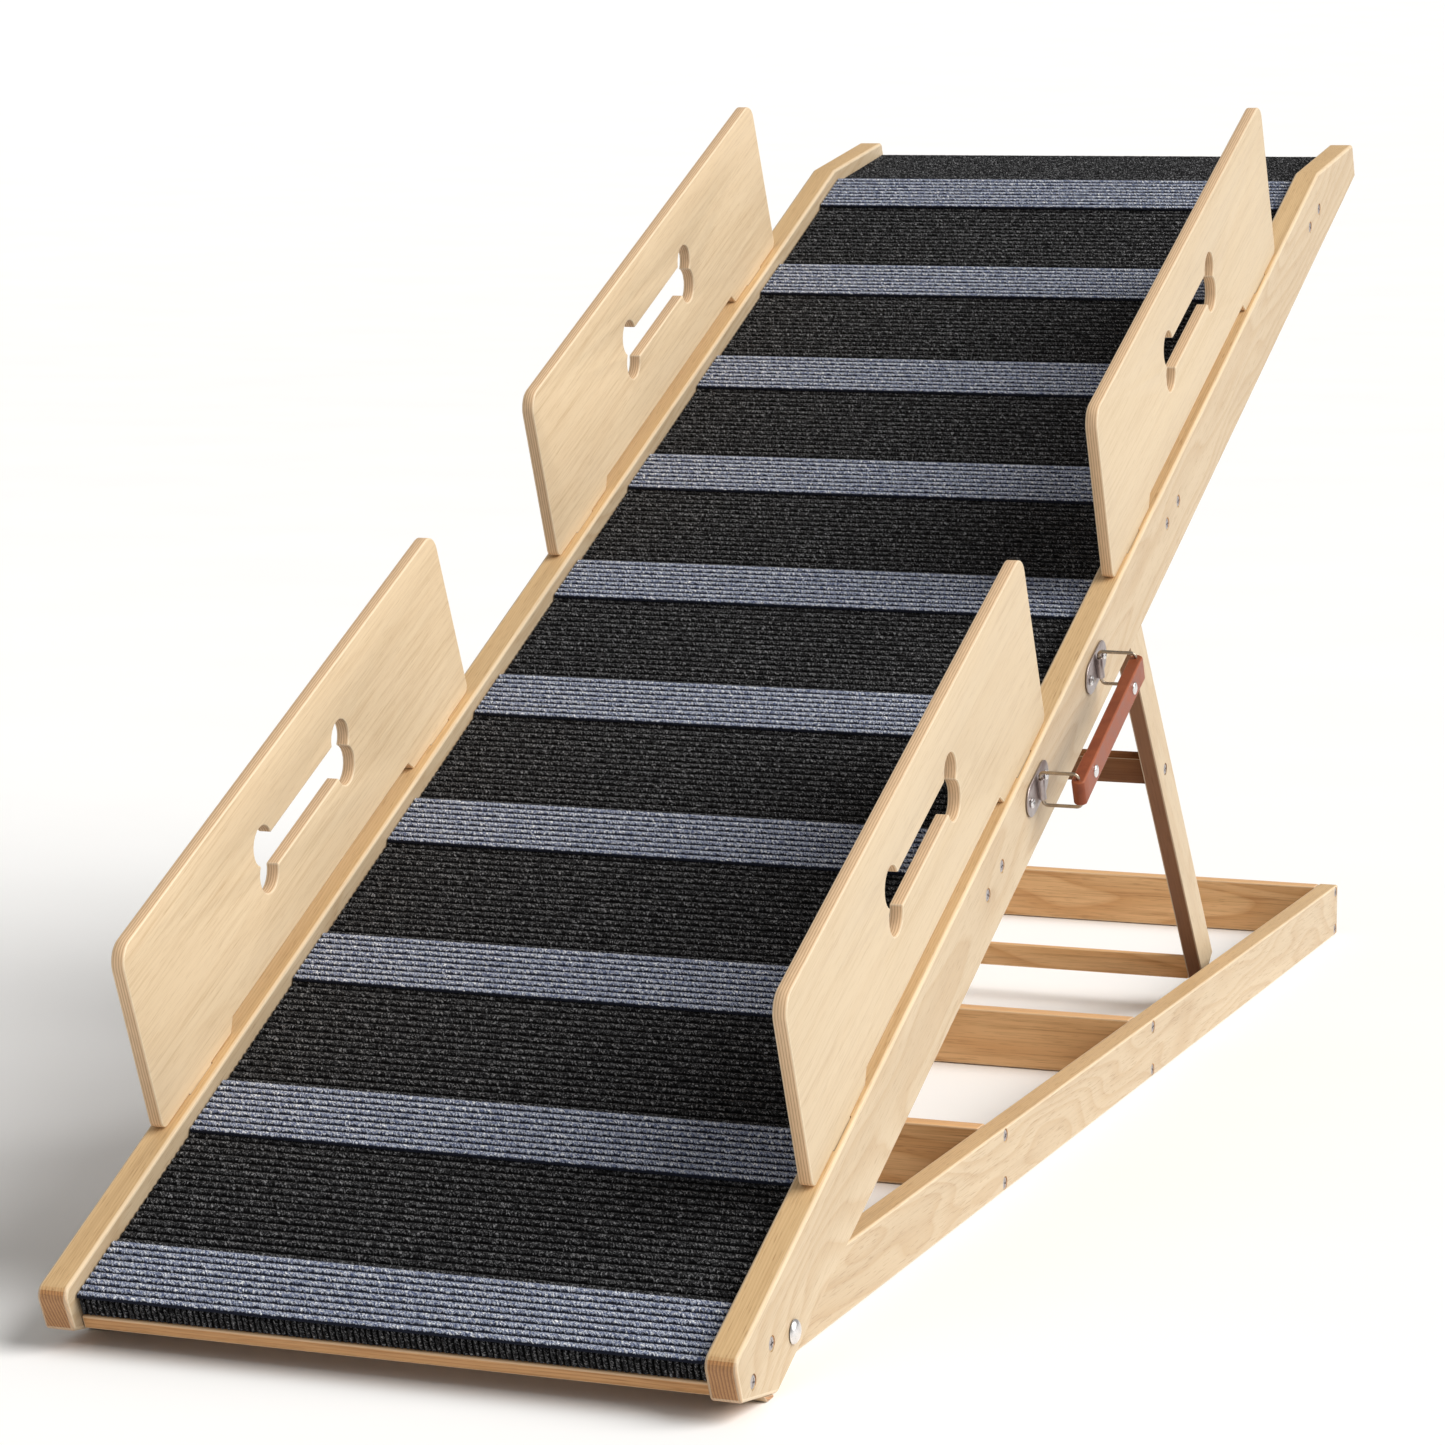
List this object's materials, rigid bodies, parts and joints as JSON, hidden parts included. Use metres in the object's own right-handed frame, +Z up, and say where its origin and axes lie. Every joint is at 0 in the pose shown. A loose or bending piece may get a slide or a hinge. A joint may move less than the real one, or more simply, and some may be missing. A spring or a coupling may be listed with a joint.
{
  "type": "dog ramp",
  "caption": "Folding wooden pet ramp with a carpeted deck, guard panels with bone-shaped grip holes, a support leg, a floor frame and a leather carry strap.",
  "frame": {"origin": "on the floor, under the middle of the floor frame's middle slat", "axes": "+Y from the ramp's low end to its high end, +X across the ramp to the side with the carry strap, +Z up"},
  "size_m": [0.437, 1.4482, 0.6616],
  "materials": {
    "light_wood": "clear-coated pale solid wood, fine straight grain, satin",
    "guard_plywood": "8 mm plywood with a pale wood face, brown layered edges, satin",
    "deck_plywood": "plain unpolished plywood, seen only from below",
    "dark_carpet": "near-black ribbed loop carpet, ribs across the ramp, matte",
    "strip_fabric": "blue-grey ribbed loop carpet strip with lighter flecks, matte",
    "brown_leather": "reddish-brown smooth leather, slightly glossy",
    "steel": "zinc-plated steel, semi-bright",
    "pad_rubber": "small tan rubber pad, matte"
  },
  "bodies": {
    "base": {"base_rail_left": "light_wood", "base_rail_right": "light_wood", "base_slat_front": "light_wood", "base_slat_middle": "light_wood", "base_slat_rear": "light_wood", "leg_rest_left": "light_wood", "leg_rest_right": "light_wood"},
    "ramp": {"deck_board": "deck_plywood", "deck_carpet": "dark_carpet", "deck_slat_front": "light_wood", "deck_slat_lower": "light_wood", "deck_slat_top": "light_wood", "deck_slat_upper": "light_wood", "grip_strip_01": "strip_fabric", "grip_strip_02": "strip_fabric", "grip_strip_03": "strip_fabric", "grip_strip_04": "strip_fabric", "grip_strip_05": "strip_fabric", "grip_strip_06": "strip_fabric", "grip_strip_07": "strip_fabric", "grip_strip_08": "strip_fabric", "grip_strip_09": "strip_fabric", "grip_strip_10": "strip_fabric", "handle_plate_lower": "steel", "handle_plate_upper": "steel", "hinge_bolt_left": "steel", "hinge_bolt_right": "steel", "hinge_nut_left": "steel", "hinge_nut_right": "steel", "landing_board": "deck_plywood", "leg_bracket_left": "steel", "leg_bracket_right": "steel", "plate_screw_lower_high": "steel", "plate_screw_lower_low": "steel", "plate_screw_upper_high": "steel", "plate_screw_upper_low": "steel", "ramp_rail_left": "light_wood", "ramp_rail_right": "light_wood", "toe_pad_left": "pad_rubber", "toe_pad_right": "pad_rubber"},
    "leg": {"leg_bar_left": "light_wood", "leg_bar_right": "light_wood", "leg_crossbar": "light_wood", "leg_foot_bar": "light_wood", "leg_foot_pin_left": "steel", "leg_foot_pin_right": "steel", "leg_pivot_bolt_left": "steel", "leg_pivot_bolt_right": "steel"},
    "guard_left_lower": {"guard_left_lower": "guard_plywood"},
    "guard_left_upper": {"guard_left_upper": "guard_plywood"},
    "guard_right_lower": {"guard_right_lower": "guard_plywood"},
    "guard_right_upper": {"guard_right_upper": "guard_plywood"},
    "ring_lower": {"handle_ring_lower": "steel"},
    "ring_upper": {"handle_ring_upper": "steel"},
    "strap": {"grip_strap": "brown_leather", "strap_rivet_lower": "steel", "strap_rivet_upper": "steel"}
  },
  "joints": [
    {"name": "ramp_fold", "type": "hinge", "parent": "base", "child": "ramp", "pos_m": [0, -0.7917, 0.02905], "axis": [1, 0, 0], "range_deg": [-24.5, 0]},
    {"name": "leg_fold", "type": "hinge", "parent": "ramp", "child": "leg", "pos_m": [0, -0.02647, 0.37557], "axis": [1, 0, 0], "range_deg": [0, 76.14]},
    {"name": "guard_left_lower_lift", "type": "slide", "parent": "ramp", "child": "guard_left_lower", "axis": [0, -0.4201, 0.9075], "range_m": [0, 0.016]},
    {"name": "guard_left_upper_lift", "type": "slide", "parent": "ramp", "child": "guard_left_upper", "axis": [0, -0.4201, 0.9075], "range_m": [0, 0.016]},
    {"name": "guard_right_lower_lift", "type": "slide", "parent": "ramp", "child": "guard_right_lower", "axis": [0, -0.4201, 0.9075], "range_m": [0, 0.016]},
    {"name": "guard_right_upper_lift", "type": "slide", "parent": "ramp", "child": "guard_right_upper", "axis": [0, -0.4201, 0.9075], "range_m": [0, 0.016]},
    {"name": "handle_swing", "type": "hinge", "parent": "ramp", "child": "ring_lower", "pos_m": [0.2036, -0.35543, 0.25304], "axis": [0, -0.4201, 0.9075], "range_deg": [-70, 70]},
    {"name": "upper_ring_swing", "type": "hinge", "parent": "ramp", "child": "ring_upper", "pos_m": [0.2036, -0.22793, 0.31206], "axis": [0, -0.4201, 0.9075], "range_deg": [-70, 70]},
    {"name": "strap_pivot", "type": "hinge", "parent": "ring_lower", "child": "strap", "pos_m": [0.2276, -0.35543, 0.25304], "axis": [0, -0.4201, 0.9075], "range_deg": [-70, 70]}
  ],
  "couplings": [
    {"joint": "leg_fold", "follows": "ramp_fold", "ratio": -3.1078},
    {"joint": "upper_ring_swing", "follows": "handle_swing", "ratio": 1},
    {"joint": "strap_pivot", "follows": "handle_swing", "ratio": -1}
  ]
}
